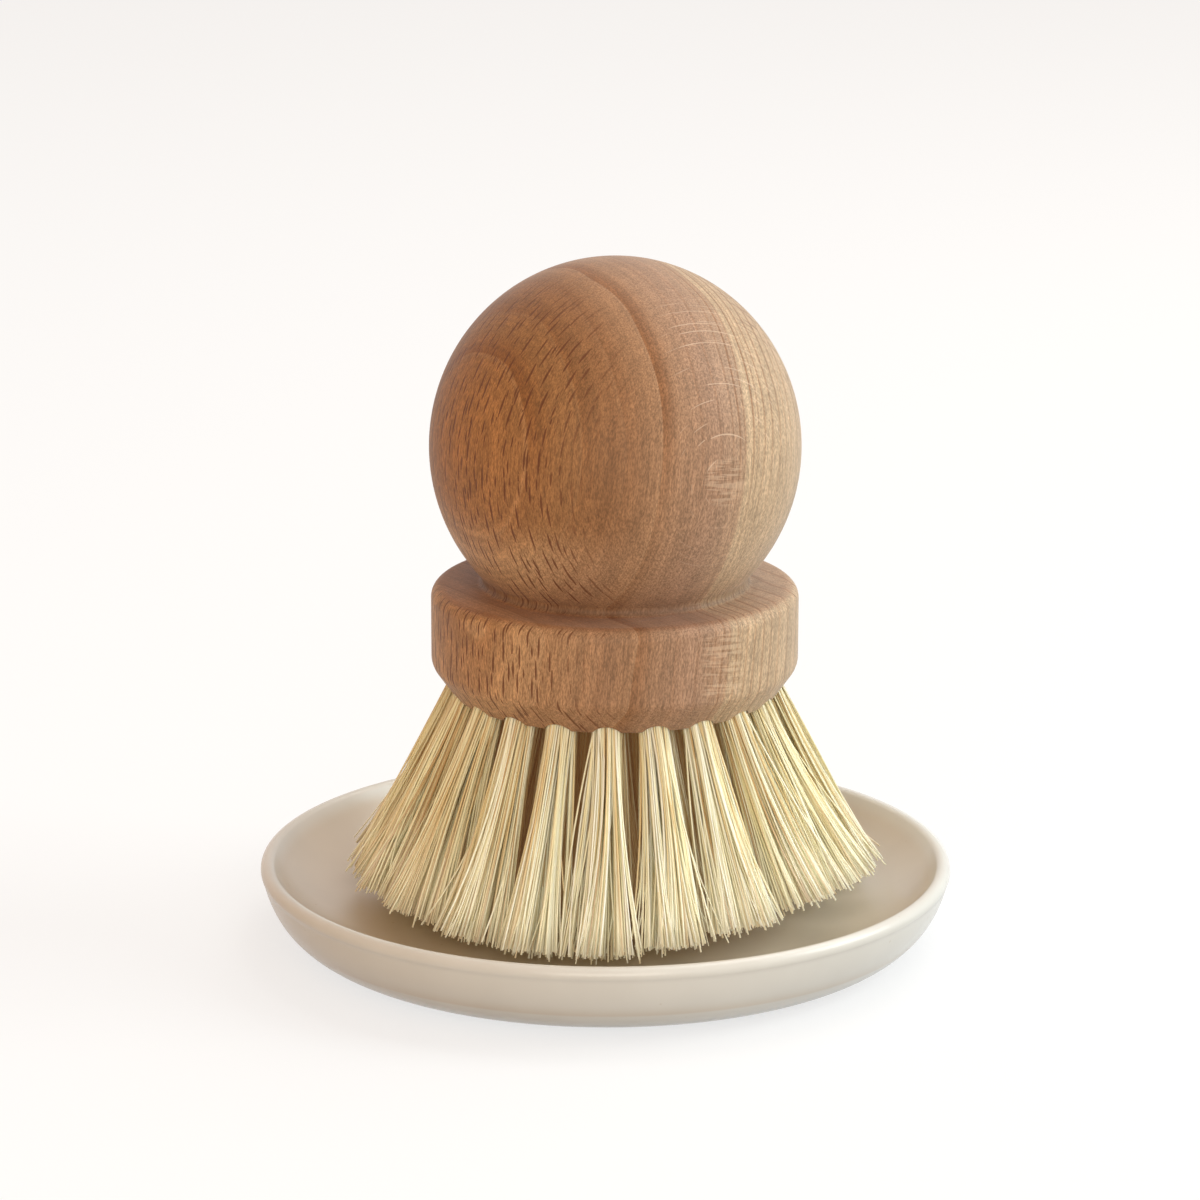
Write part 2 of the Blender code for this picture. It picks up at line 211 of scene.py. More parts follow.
# %% Make the floor
FLOOR_HALF_WIDTH = 3.0
FLOOR_DEPTH = 0.0002
FLOOR_SEEN = 0.95
FLOOR_BOUNCE = 0.50
WHITE_SHARE = 0.72

floor_finish = bpy.data.materials.new("floor")
tree = emptied(floor_finish)
seen = seen_directly(tree)
grey = maths(tree, "MULTIPLY_ADD", seen, FLOOR_SEEN - FLOOR_BOUNCE, FLOOR_BOUNCE)
floor_colour = node(tree, "CombineColor", {0: grey, 1: grey, 2: grey}).outputs[0]
matt = node(tree, "BsdfDiffuse", {"Color": floor_colour}).outputs[0]
glow = node(tree, "Emission", {"Color": WHITE, "Strength": 1.0}).outputs[0]
floor_mix = node(tree, "MixShader", {0: product(tree, seen, WHITE_SHARE), 1: matt, 2: glow}).outputs[0]
node(tree, "OutputMaterial", {"Surface": floor_mix})

floor_mesh = bpy.data.meshes.new("floor")
corner = FLOOR_HALF_WIDTH
floor_corners = [(-corner, -corner), (corner, -corner), (corner, corner), (-corner, corner)]
floor_mesh.from_pydata([(x, y, -FLOOR_DEPTH) for x, y in floor_corners], [], [(0, 1, 2, 3)])
floor_mesh.materials.append(floor_finish)
floor = bpy.data.objects.new("floor", floor_mesh)
bpy.context.scene.collection.objects.link(floor)
print("floor's width in metres:", 2 * FLOOR_HALF_WIDTH)

# %% [markdown]
# ## A turned surface
#
# Both the handle and the tray were made by turning: wood on a lathe, clay on a wheel. Blender has a
# Screw modifier and a Spin operator for that. Here the surface is worked out directly, because then the
# profile can be any list of points, the seam and the poles are closed from the start, and nothing has to
# be merged. A profile runs from the top of the axis, down the outside, to the bottom of the axis.

# %% Work out turned surfaces
def turned_points(profile, steps, axis=(0.0, 0.0)):
    """Points of a surface of revolution round a vertical axis.

    Point (i, j) lies radius_i from the axis at height_i, turned by j / steps of a full circle."""
    radius, height = profile[:, 0, None], profile[:, 1, None]
    angle = np.arange(steps)[None, :] * (math.tau / steps)
    x = axis[0] + radius * np.cos(angle)
    y = axis[1] + radius * np.sin(angle)
    return np.stack([x, y, height + 0.0 * angle], axis=-1)


def turned_mesh(name, profile, steps, axis=(0.0, 0.0)):
    """A closed mesh of that surface. The profile's first and last points lie on the axis."""
    rings = turned_points(profile[1:-1], steps, axis)
    poles = [(*axis, profile[0, 1]), (*axis, profile[-1, 1])]
    points = np.vstack([rings.reshape(-1, 3), poles])
    here = np.arange(rings.shape[0] * steps).reshape(-1, steps)
    beside = np.roll(here, -1, axis=1)
    quads = np.stack([here[:-1], here[1:], beside[1:], beside[:-1]], axis=-1).reshape(-1, 4)
    top, bottom = len(points) - 2, len(points) - 1
    upper = np.stack([np.full(steps, top), here[0], beside[0]], axis=-1)
    lower = np.stack([np.full(steps, bottom), beside[-1], here[-1]], axis=-1)
    mesh = bpy.data.meshes.new(name)
    mesh.from_pydata(points.tolist(), [], quads.tolist() + upper.tolist() + lower.tolist())
    mesh.shade_smooth()
    return mesh


# %% [markdown]
# ## Curves for a profile
#
# A turner's outline is made of arcs, rounded corners and long soft sweeps. The first two keep a true
# radius. A sweep is a quadratic curve: its middle point gives the directions at both of its ends.

# %% Draw arcs, rounded corners and sweeps
def arc(centre, radii, start, end, steps):
    """Points of an ellipse's arc: centre + (radii_x cos a, radii_z sin a), a from start to end."""
    angle = np.linspace(start, end, steps)[:, None]
    return np.array(centre) + np.hstack([np.cos(angle), np.sin(angle)]) * np.array(radii)


def unit(vector):
    """The vector with length 1."""
    return vector / np.linalg.norm(vector)


def rounded(before, corner, after, radius, steps):
    """The arc that rounds a corner between two straight runs and touches both.

    Its centre is on the bisector, radius / sin(half the corner's angle) from the corner. Points between
    its ends are their weighted sum, with sines of the turned angle as weights."""
    before, corner, after = np.array(before), np.array(corner), np.array(after)
    one, two = unit(before - corner), unit(after - corner)
    half = math.acos(float(one @ two)) / 2
    centre = corner + unit(one + two) * radius / math.sin(half)
    start = corner + one * radius / math.tan(half) - centre
    end = corner + two * radius / math.tan(half) - centre
    turn = math.pi - 2 * half
    share = np.linspace(0, 1, steps)[:, None]
    return centre + (start * np.sin(turn * (1 - share)) + end * np.sin(turn * share)) / math.sin(turn)


def bent(start, control, end, steps):
    """A quadratic curve: (1 - t)^2 start + 2 t (1 - t) control + t^2 end, for t from 0 to 1."""
    t = np.linspace(0, 1, steps)[:, None]
    return (1 - t) ** 2 * np.array(start) + 2 * t * (1 - t) * np.array(control) + t**2 * np.array(end)


# %% [markdown]
# ## The tray
#
# A saucer thrown or pressed with a soft curve from its foot to a beaded lip. The bead stands out a little
# over the wall, and the photograph shows that small step as a faint line round the outside. The inside
# drops from the lip in one sweep, as a shallow bowl does. Underneath is a foot ring round a shallow
# recess. The bead is an arc that runs on below its widest point, and the walls are quadratic curves.

# %% Turn the tray
TRAY_STEPS = 360
WELL_STEPS, BEAD_STEPS, WALL_STEPS, FOOT_STEPS = 48, 34, 40, 6
LIP_RADIUS = 1.15 * MILLIMETRE
LIP_STEP = 0.24 * MILLIMETRE
LIP_TURN = math.radians(145.0)
WELL_RADIUS = 31.0 * MILLIMETRE
WELL_HEIGHT = 4.6 * MILLIMETRE
WALL_CONTROL_SHARE = 0.825
FOOT_RADIUS = 37.2 * MILLIMETRE
FOOT_WIDTH = 3.0 * MILLIMETRE
FOOT_RECESS = 1.0 * MILLIMETRE
FOOT_EASE = 0.5 * MILLIMETRE

tray_low, tray_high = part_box("tray")
TRAY_RADIUS = (tray_high.x - tray_low.x) / 2
TRAY_HEIGHT = tray_high.z


def tray_profile():
    """The tray's half outline, from the middle of the well, over the lip, to the middle of the foot."""
    lip_centre = (TRAY_RADIUS - LIP_RADIUS, TRAY_HEIGHT - LIP_RADIUS)
    bead_end = -math.acos((LIP_RADIUS - LIP_STEP) / LIP_RADIUS)
    bead = arc(lip_centre, (LIP_RADIUS, LIP_RADIUS), LIP_TURN, bead_end, BEAD_STEPS)
    tangent_foot = bead[0, 0] + (bead[0, 1] - WELL_HEIGHT) * math.tan(LIP_TURN)
    wall_control = (FOOT_RADIUS + (bead[-1, 0] - FOOT_RADIUS) * WALL_CONTROL_SHARE, 0)
    inner_foot = FOOT_RADIUS - FOOT_WIDTH
    recess = rounded((inner_foot, 0), (inner_foot, FOOT_RECESS), (0, FOOT_RECESS), FOOT_EASE, FOOT_STEPS)
    return np.vstack(
        [
            [(0, WELL_HEIGHT)],
            bent((WELL_RADIUS, WELL_HEIGHT), (tangent_foot, WELL_HEIGHT), bead[0], WELL_STEPS),
            bead[1:],
            bent(bead[-1], wall_control, (FOOT_RADIUS, 0), WALL_STEPS)[1:],
            [(inner_foot, 0)],
            recess,
            [(0, FOOT_RECESS)],
        ]
    )


def piece(name, mesh, body, nodes):
    """Puts a finished mesh in the scene, on the body that carries it, in place of its plain solids."""
    made = bpy.data.objects.new(name, mesh)
    bpy.context.scene.collection.objects.link(made)
    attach(made, body)
    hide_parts(*nodes)
    return made


tray = piece("glazed_tray", turned_mesh("glazed_tray", tray_profile(), TRAY_STEPS), "tray", ["tray"])
print("tray radius and height in millimetres:", round(TRAY_RADIUS * 1000, 2), round(TRAY_HEIGHT * 1000, 2))

# %% [markdown]
# ## The handle's outline
#
# One piece of beech: a ball, a short fillet where the tool cut in, a disc with a soft upper edge and a
# bevelled lower one. The fillet touches the ball and the disc's flat top. Its place is found by taking
# many points of the ball, moving each outwards by the fillet's radius, and reading off the one that ends
# up at that radius above the disc.

# %% Draw the handle's outline
HANDLE_STEPS = 288
SEARCH_STEPS, BALL_STEPS, NECK_STEPS, TOP_STEPS, BEVEL_STEPS, EASE_STEPS = 2000, 110, 10, 14, 8, 5
BALL_HALF_HEIGHT = 27.55 * MILLIMETRE
NECK_RADIUS = 18.1 * MILLIMETRE
NECK_FILLET = 0.9 * MILLIMETRE
DISC_RADIUS = 26.85 * MILLIMETRE
DISC_HEIGHT = 15.9 * MILLIMETRE
DISC_TOP_FILLET = 2.0 * MILLIMETRE
BEVEL_WIDTH = 3.0 * MILLIMETRE
BEVEL_HEIGHT = 4.2 * MILLIMETRE
BEVEL_EASE = 3.0 * MILLIMETRE
UNDERSIDE_EASE = 0.4 * MILLIMETRE

handle_low, handle_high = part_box("handle")
BALL_RADIUS = (handle_high.x - handle_low.x) / 2
BRUSH_AXIS = ((handle_low.x + handle_high.x) / 2, (handle_low.y + handle_high.y) / 2)
UNDERSIDE = handle_low.z
FLAT_RADIUS = DISC_RADIUS - BEVEL_WIDTH
BALL_CENTRE = DISC_HEIGHT + BALL_HALF_HEIGHT * math.sqrt(1 - (NECK_RADIUS / BALL_RADIUS) ** 2)


def handle_profile():
    """The handle's half outline, from the top of the ball to the middle of the underside."""
    angle = np.linspace(-math.pi / 2, 0, SEARCH_STEPS)
    normal = np.stack([BALL_HALF_HEIGHT * np.cos(angle), BALL_RADIUS * np.sin(angle)], axis=-1)
    normal /= np.linalg.norm(normal, axis=1)[:, None]
    fillet_height = BALL_CENTRE + BALL_HALF_HEIGHT * np.sin(angle) + NECK_FILLET * normal[:, 1]
    lowest = np.interp(DISC_HEIGHT + NECK_FILLET, fillet_height, angle)
    ball = arc((0, BALL_CENTRE), (BALL_RADIUS, BALL_HALF_HEIGHT), math.pi / 2, lowest, BALL_STEPS)
    ball[0, 0] = 0
    outwards = unit(np.array((BALL_HALF_HEIGHT * math.cos(lowest), BALL_RADIUS * math.sin(lowest))))
    centre = ball[-1] + NECK_FILLET * outwards
    start = math.atan2(-outwards[1], -outwards[0])
    neck = arc(centre, (NECK_FILLET, NECK_FILLET), start, 1.5 * math.pi, NECK_STEPS)
    top_corner = (DISC_RADIUS, DISC_HEIGHT)
    rim_corner = (DISC_RADIUS, BEVEL_HEIGHT)
    flat_corner = (FLAT_RADIUS, 0)
    return np.vstack(
        [
            ball,
            neck[1:],
            rounded(neck[-1], top_corner, rim_corner, DISC_TOP_FILLET, TOP_STEPS),
            rounded(top_corner, rim_corner, flat_corner, BEVEL_EASE, BEVEL_STEPS),
            rounded(rim_corner, flat_corner, (0, 0), UNDERSIDE_EASE, EASE_STEPS),
            [(0, 0)],
        ]
    )


outline = handle_profile() + (0, UNDERSIDE)
print("the outline has", len(outline), "points, and the handle's top is at", round(outline[0, 1], 4))

# %% [markdown]
# ## The tuft holes
#
# The holes are drilled blind, in four rings that lean outwards more and more, so the fibres fan. The
# outermost drill cuts through the lower edge of the bevel, and that gives the disc its scalloped foot.
# The number of tufts in a ring is read from the frame, and so each hole meets its own tuft.

# %% Place the tufts
OUTER_TILT = math.radians(22.0)
FRONT_TUFT_ANGLE = math.radians(-2.8)
PITCH_SHARES = {"outer": 0.942, "middle": 0.643, "inner": 0.349, "centre": 0.0}


def tuft_places(ring):
    """The frame's names of a ring's tufts, and for each the matrix that puts it in its hole.

    A tuft's own X points away from the brush's axis, and its fibres run down its own Z."""
    names = sorted(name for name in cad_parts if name.startswith("tuft_" + ring))
    share = PITCH_SHARES[ring]
    tilt = OUTER_TILT * share / PITCH_SHARES["outer"]
    for number, name in enumerate(names):
        angle = math.tau * number / len(names) - math.pi / 2 + FRONT_TUFT_ANGLE
        place = Vector((math.cos(angle), math.sin(angle), 0)) * FLAT_RADIUS * share
        place += Vector((*BRUSH_AXIS, UNDERSIDE))
        turn = Matrix.Rotation(angle, 4, "Z") @ Matrix.Rotation(-tilt, 4, "Y")
        yield name, np.array(Matrix.Translation(place) @ turn)


def moved(points, matrix):
    """Points carried by a 4 x 4 matrix."""
    return points @ matrix[:3, :3].T + matrix[:3, 3]


print("tufts in each ring:", {ring: len(list(tuft_places(ring))) for ring in PITCH_SHARES})

# %% [markdown]
# ## Drilling
#
# Each hole is a Boolean cut with a cylinder that starts below the disc and ends flat in the wood. All
# the drills go into one mesh, so one cut does for all of them. Smooth shading would smear light over the
# holes' edges, so edges past an angle are marked sharp.

# %% Drill the handle
HOLE_RADIUS = 2.4 * MILLIMETRE
HOLE_DEPTH = 9.0 * MILLIMETRE
HOLE_SIDES = 40
DRILL_OVERRUN = 3.0 * MILLIMETRE
SHARP_ANGLE = math.radians(35.0)


def drill_mesh():
    """All the drills as one mesh: a cylinder with flat ends for each hole."""
    heights = (HOLE_DEPTH, HOLE_DEPTH, -DRILL_OVERRUN, -DRILL_OVERRUN)
    drill = turned_mesh("drill", np.array(list(zip((0, HOLE_RADIUS, HOLE_RADIUS, 0), heights))), HOLE_SIDES)
    points = np.empty(len(drill.vertices) * 3)
    drill.vertices.foreach_get("co", points)
    points = points.reshape(-1, 3)
    faces = [list(face.vertices) for face in drill.polygons]
    matrices = [matrix for ring in PITCH_SHARES for _, matrix in tuft_places(ring)]
    every_point = np.vstack([moved(points, matrix) for matrix in matrices])
    shifts = [len(points) * i for i in range(len(matrices))]
    every_face = [[corner + shift for corner in face] for shift in shifts for face in faces]
    mesh = bpy.data.meshes.new("drills")
    mesh.from_pydata(every_point.tolist(), [], every_face)
    bpy.data.meshes.remove(drill)
    return mesh


def drilled(mesh):
    """The mesh with every drill cut out of it."""
    body = bpy.data.objects.new("blank", mesh)
    drills = bpy.data.objects.new("drills", drill_mesh())
    for made in (body, drills):
        bpy.context.scene.collection.objects.link(made)
    cut = body.modifiers.new("holes", "BOOLEAN")
    cut.operation = "DIFFERENCE"
    cut.solver = "EXACT"
    cut.object = drills
    result = bpy.data.meshes.new_from_object(body.evaluated_get(bpy.context.evaluated_depsgraph_get()))
    bpy.data.objects.remove(body)
    bpy.data.objects.remove(drills)
    return result


handle_mesh = drilled(turned_mesh("turned_handle", outline, HANDLE_STEPS, BRUSH_AXIS))
handle_mesh.shade_smooth()
handle_mesh.set_sharp_from_angle(angle=SHARP_ANGLE)
handle = piece("turned_handle", handle_mesh, "brush", ["handle"])
print("faces of the drilled handle:", len(handle_mesh.polygons))

# %% [markdown]
# ## Where the fibres run
#
# A tuft is a hundred and more stiff fibres, packed round in the hole and splayed below it. Blender's hair
# would draw them, but it leaves no mesh to export, so each fibre is a thin four-sided tube. All the
# fibres of a tuft are worked out at once: one array holds their centre lines, and a second adds the
# sides. A fibre's centre line starts inside the hole, leaves it straight, and spreads in proportion to
# its place in the hole, so neighbours stay neighbours. Each then gets a small bow of its own. A few
# stray ones get a large bow, and those are the crossing fibres that make a used tuft look real.

# %% Lay out a tuft's centre lines
FIBRE_LENGTH = 32.1 * MILLIMETRE
FIBRE_START = 3.4 * MILLIMETRE
FIBRE_STATIONS = 9
PACKED_RADIUS = 2.15 * MILLIMETRE
GOLDEN_ANGLE = math.pi * (3 - math.sqrt(5))
ROOT_JITTER = 0.25
FLOOR_CLEARANCE = 0.25 * MILLIMETRE
CUT_SCATTER = 0.32 * MILLIMETRE
LONG_SHARE = 0.07
LONG_EXTRA = 1.2 * MILLIMETRE
BOW = 0.14 * MILLIMETRE
TIP_WANDER = 0.45 * MILLIMETRE
STRAY_SHARE = 0.10
STRAY_BOW = 0.6 * MILLIMETRE
STRAY_WANDER = 2.2 * MILLIMETRE
WIDEST_STRAY = 1.3
CLUMPS = 9
CLUMP_BOW = 0.22 * MILLIMETRE
CLUMP_WANDER = 0.85 * MILLIMETRE
CLUMP_GATHER = 1.1 * MILLIMETRE
SPREAD_POWERS = np.array((1.0, 1.35))


def sunflower(count, turn):
    """Points spread evenly over a disc of radius 1, as a sunflower's seeds are.

    Point i lies sqrt((i + 1/2) / count) from the middle, turned by i golden angles and its own turn."""
    number = np.arange(count)
    share = np.sqrt((number + 0.5) / count)
    angle = number * GOLDEN_ANGLE + turn
    return np.stack([share * np.cos(angle), share * np.sin(angle)], axis=-1)


def centre_lines(count, reach, random, length_share=1.0, lean=0.0):
    """Centre lines of a tuft's fibres in the tuft's own frame, as (fibre, station, xyz).

    With s from 0 at the hole's mouth to 1 at the cut end, a fibre lies at
    root + (reach * root direction - root) * s^power + bow * 4 s (1 - s) + wander * s^2, and lean * s^2
    outwards from the brush. The power is larger sideways, so gaps between neighbouring tufts close only
    low down. Fibres whose roots are near one of a few points of the hole are a clump: they share a bow
    and a wander, and they bow towards that point besides."""
    direction = sunflower(count, random.uniform(-ROOT_JITTER, ROOT_JITTER, count))
    middles = sunflower(CLUMPS, random.uniform(0, math.tau))
    clump = np.argmin(np.sum((direction[:, None] - middles) ** 2, axis=-1), axis=1)
    gather = (middles[clump] - direction) * CLUMP_GATHER
    stray = random.random(count) < STRAY_SHARE
    bow_size = np.where(stray, STRAY_BOW, BOW)[:, None]
    wander_size = np.where(stray, STRAY_WANDER, TIP_WANDER)[:, None]
    bow = random.normal(size=(count, 2)) * bow_size + gather
    bow += random.normal(size=(CLUMPS, 2))[clump] * CLUMP_BOW
    wander = np.clip(random.normal(size=(count, 2)), -WIDEST_STRAY, WIDEST_STRAY) * wander_size
    wander += np.clip(random.normal(size=(CLUMPS, 2)), -WIDEST_STRAY, WIDEST_STRAY)[clump] * CLUMP_WANDER
    length = FIBRE_LENGTH * length_share + random.normal(size=count) * CUT_SCATTER
    length += (random.random(count) < LONG_SHARE) * random.random(count) * LONG_EXTRA
    s = np.linspace(0, 1, FIBRE_STATIONS - 1)[None, :, None]
    root = direction * PACKED_RADIUS
    across = root[:, None] + (direction * reach - root)[:, None] * s**SPREAD_POWERS
    across = across + bow[:, None] * 4 * s * (1 - s) + (wander + (lean, 0.0))[:, None] * s**2
    down = -length[:, None, None] * s
    below = np.concatenate([across, down], axis=-1)
    inside = np.concatenate([root, np.full((count, 1), FIBRE_START)], axis=-1)[:, None]
    return np.concatenate([inside, below], axis=1)


def lifted_clear(lines, lowest):
    """Fibres that would touch the tray's floor are drawn back along themselves until they clear it.

    Heights below the hole are scaled by (mouth - lowest) / (mouth - tip) where that is under 1."""
    mouth, tip = lines[:, 1, 2], lines[:, -1, 2]
    scale = np.minimum(1, (mouth - lowest) / (mouth - tip))[:, None, None]
    start = lines[:, 1:2]
    return np.concatenate([lines[:, :1], start + (lines[:, 1:] - start) * scale], axis=1)


# %% [markdown]
# ## Fibres as tubes
#
# A tube needs two directions square to its centre line at every station. Fibres all run roughly
# downwards, so the cross product with one fixed direction always gives the first, and a second cross
# product gives the other. Each fibre's tone, and how far along it a point is, go into a UV map, which
# the material reads and which an exported mesh keeps.

# %% Make tubes of the centre lines
FIBRE_RADII = (0.10 * MILLIMETRE, 0.20 * MILLIMETRE)
FIBRE_SIDES = 4
TIP_TAPER = 0.82


def tubes(lines, radii, random):
    """Points (fibre, station, side, xyz) round the centre lines.

    The two directions square to a line are those of a fixed frame turned to follow it."""
    forwards = np.gradient(lines, axis=1)
    forwards /= np.linalg.norm(forwards, axis=-1, keepdims=True)
    first = np.cross(forwards, (0.0, 1.0, 0.0))
    first /= np.linalg.norm(first, axis=-1, keepdims=True)
    second = np.cross(forwards, first)
    turn = random.uniform(0, math.tau, len(lines))[:, None] + np.arange(FIBRE_SIDES) * math.tau / FIBRE_SIDES
    taper = np.linspace(1, TIP_TAPER, lines.shape[1])
    size = (radii[:, None] * taper)[:, :, None, None]
    cosine, sine = np.cos(turn)[:, None, :, None], np.sin(turn)[:, None, :, None]
    return lines[:, :, None] + size * (cosine * first[:, :, None] + sine * second[:, :, None])


def fibre_mesh(name, points, tone):
    """One closed four-sided tube for each fibre, with its tone and the share along it kept as a UV map."""
    count, stations, sides, _ = points.shape
    here = np.arange(count * stations * sides).reshape(count, stations, sides)
    beside = np.roll(here, -1, axis=2)
    walls = np.stack([here[:, :-1], beside[:, :-1], beside[:, 1:], here[:, 1:]], axis=-1).reshape(-1, sides)
    starts, ends = here[:, 0, ::-1], here[:, -1]
    faces = np.vstack([walls, starts, ends])
    mesh = bpy.data.meshes.new(name)
    mesh.from_pydata(points.reshape(-1, 3).tolist(), [], faces.tolist())
    mesh.polygons.foreach_set("use_smooth", np.arange(len(faces)) < len(walls))
    length = np.linspace(0, 1, stations)
    each = np.stack(np.broadcast_arrays(tone[:, None, None], length[None, :, None], np.zeros(sides)), axis=-1)
    corners = each.reshape(-1, 3)[faces.ravel(), :2]
    mesh.uv_layers.new(name="tone_and_length").uv.foreach_set("vector", corners.astype(np.float32).ravel())
    return mesh


# %% [markdown]
# ## One bundle for each hole
#
# The rings differ in how many fibres there are, in how far they reach at the cut ends, and in how pale
# the palest of them are. The outer ring shows most and gets the most, and inside it the fibres are
# painted browner, as painted shade deep in the brush. The outer tufts reach sideways until they meet.
# Those on the right have been pressed outwards in use, and those on the left a little: they curve away
# from the brush, and their worn ends are higher than the others. The tufts on the left are also painted
# browner, as painted shade, and those on the right less so.

# %% Fill the holes
# For each ring: how many fibres, their reach outwards and sideways in millimetres, and the palest tone,
# which is lower on the inner rings as painted shade.
BUNDLES = {
    "outer": (185, (5.2, 5.0), 1.00),
    "middle": (120, (4.9, 5.0), 0.70),
    "inner": (100, (4.9, 5.2), 0.50),
    "centre": (100, (5.2, 5.2), 0.50),
}
SEED = 20
PRESSED_LEAN = 3.0 * MILLIMETRE
PRESSED_LENGTH = 0.885
# By direction in degrees, where -90 is the front: how far a tuft is pressed out, and how pale it may be,
# which is lower on the left and right as painted shade.
PRESSED = (
    (-180, 0.35), (-155, 0.35), (-120, 0), (-88, 0), (-38, 1), (-16, 1), (16, 0), (150, 0), (180, 0.35),
)
PALENESS_PAINTED_SHADE = (
    (-180, 0.32), (-150, 0.32), (-105, 0.85), (-85, 1), (-60, 1),
    (-35, 0.65), (30, 0.65), (120, 1), (180, 0.32),
)


def by_direction(matrix, table):
    """A value for a tuft, from a table of values by direction in degrees from the brush's axis."""
    azimuth = math.atan2(matrix[1, 3] - BRUSH_AXIS[1], matrix[0, 3] - BRUSH_AXIS[0])
    directions, values = zip(*table)
    return float(np.interp(math.degrees(azimuth), directions, values))


bundles = []
for ring, (count, reach, palest_with_painted_shade) in BUNDLES.items():
    for name, matrix in tuft_places(ring):
        random = np.random.default_rng(SEED + len(bundles))
        pressed = by_direction(matrix, PRESSED) if ring == "outer" else 0.0
        length_share, lean = 1 - (1 - PRESSED_LENGTH) * pressed, PRESSED_LEAN * pressed
        lines = centre_lines(count, np.array(reach) * MILLIMETRE, random, length_share, lean)
        lines = lifted_clear(moved(lines, matrix), WELL_HEIGHT + FLOOR_CLEARANCE)
        radii = random.uniform(*FIBRE_RADII, count)
        walls = tubes(lines, radii, random)
        # The palest tone is lowered as painted shade, on the inner rings and on the tufts to the left and
        # right.
        tone = random.random(count) * palest_with_painted_shade * by_direction(matrix, PALENESS_PAINTED_SHADE)
        mesh = fibre_mesh(name.replace("tuft", "fibres"), walls, tone)
        bundles.append(piece(mesh.name, mesh, "brush", [name]))
print(len(bundles), "bundles, lowest fibre end at", min(b.bound_box[0][2] for b in bundles))

# %% [markdown]
# ## Beech
#
# Beech shows three faces. Where the surface follows the growth rings, the rays are cut across and
# look like short dark dashes. Where it runs square to the rings, they lie open as pale flecks. On the end
# grain they are fine lines. One solid texture gives all three, because the turned shape cuts
# through it just as it cuts through the wood. It is laid out in axes of its own, in millimetres from the
# middle of the ball: X runs across the growth rings towards the bark, Y along them, and Z up the grain.

# %% Set up the grain's own axes
RINGS_FACE = math.radians(-145.0)
GRAIN_LEAN = -0.12
BALL_MIDDLE = (*BRUSH_AXIS, UNDERSIDE + BALL_CENTRE)
DISC_TOP = UNDERSIDE + DISC_HEIGHT


def new_finish(name):
    """An empty material, and its tree."""
    made = bpy.data.materials.new(name)
    return made, emptied(made)


beech, tree = new_finish("beech")
place = node(tree, "TexCoord")
height = node(tree, "SeparateXYZ", {0: place.outputs["Object"]}).outputs["Z"]
grain_axes = {
    "Vector": place.outputs["Object"],
    "Location": BALL_MIDDLE,
    "Rotation": (0.0, GRAIN_LEAN, RINGS_FACE),
    "Scale": (MILLIMETRE, MILLIMETRE, MILLIMETRE),
}
grain = node(tree, "Mapping", grain_axes, vector_type="TEXTURE").outputs["Vector"]
print("the grain's axes start at", [round(part, 4) for part in BALL_MIDDLE])

# %% [markdown]
# ### Marks along the grain
#
# Most of wood's small marks are noise drawn out along the grain. Coordinates divided by a size before
# they reach the noise do that, and the size is then in millimetres of real wood. Noise keeps near the
# middle of its range, so `spread` picks the part that matters and stretches it over the range wanted.

# %% Stretch noise along the grain
def vector_maths(tree, operation, first, second=(0.0, 0.0, 0.0)):
    """The vector output of a Vector Math node."""
    return node(tree, "VectorMath", {0: first, 1: second}, operation=operation).outputs["Vector"]


def spread(tree, value, low, high, to_low=0.0, to_high=1.0):
    """A value taken from one range to another, clamped, with soft ends."""
    inputs = {"Value": value, "From Min": low, "From Max": high, "To Min": to_low, "To Max": to_high}
    return node(tree, "MapRange", inputs, interpolation_type="SMOOTHSTEP").outputs["Result"]


def by_height(tree, height, base, start, end, to_start=0.0, to_end=1.0):
    """A value that changes between two heights, given in millimetres over a base height."""
    return spread(tree, height, base + start * MILLIMETRE, base + end * MILLIMETRE, to_start, to_end)


def streaks(tree, grain, size, detail):
    """Noise stretched to a size in millimetres along each of the grain's axes."""
    scaled = vector_maths(tree, "DIVIDE", grain, size)
    return node(tree, "TexNoise", {"Vector": scaled, "Scale": 1.0, "Detail": detail}).outputs[0]


def wavering(tree, grain, size, detail, reach):
    """Such noise, taken to the range from -reach to reach."""
    return maths(tree, "MULTIPLY_ADD", streaks(tree, grain, size, detail), reach * 2, -reach)


# %% [markdown]
# ### Growth rings
#
# The rings lie along one axis, and each is listed by its place on it. On the pith side, which the
# photograph has on the right, they are thin and close. A ring darkens slowly towards its outer edge and
# there it ends at once, with the pale wood of the next spring beside it.

# %% Lay the growth rings
# Each ring's outer edge and its dark part's width, in millimetres, and how dark it gets.
RINGS = [
    (23.7, 2.2, 0.75), (19.2, 2.8, 0.36), (14.4, 2.4, 0.22), (9.8, 3.0, 0.75), (4.2, 0.6, 0.22),
    (1.2, 0.5, 0.30), (-1.2, 0.4, 0.35), (-2.5, 0.4, 0.70), (-3.5, 0.3, 0.48), (-5.0, 0.4, 0.85),
    (-5.9, 0.3, 0.55), (-7.1, 0.4, 0.75), (-8.8, 0.5, 0.70), (-10.8, 0.6, 0.68), (-12.6, 0.5, 0.55),
    (-14.6, 0.7, 0.60), (-17.3, 0.6, 0.55), (-20.4, 0.7, 0.50), (-23.6, 0.6, 0.50),
]
RING_EDGE = 0.14
SPRING_WIDTH = 0.55
RING_WOBBLE = ((9.0, 9.0, 22.0), 0.0, 0.8)

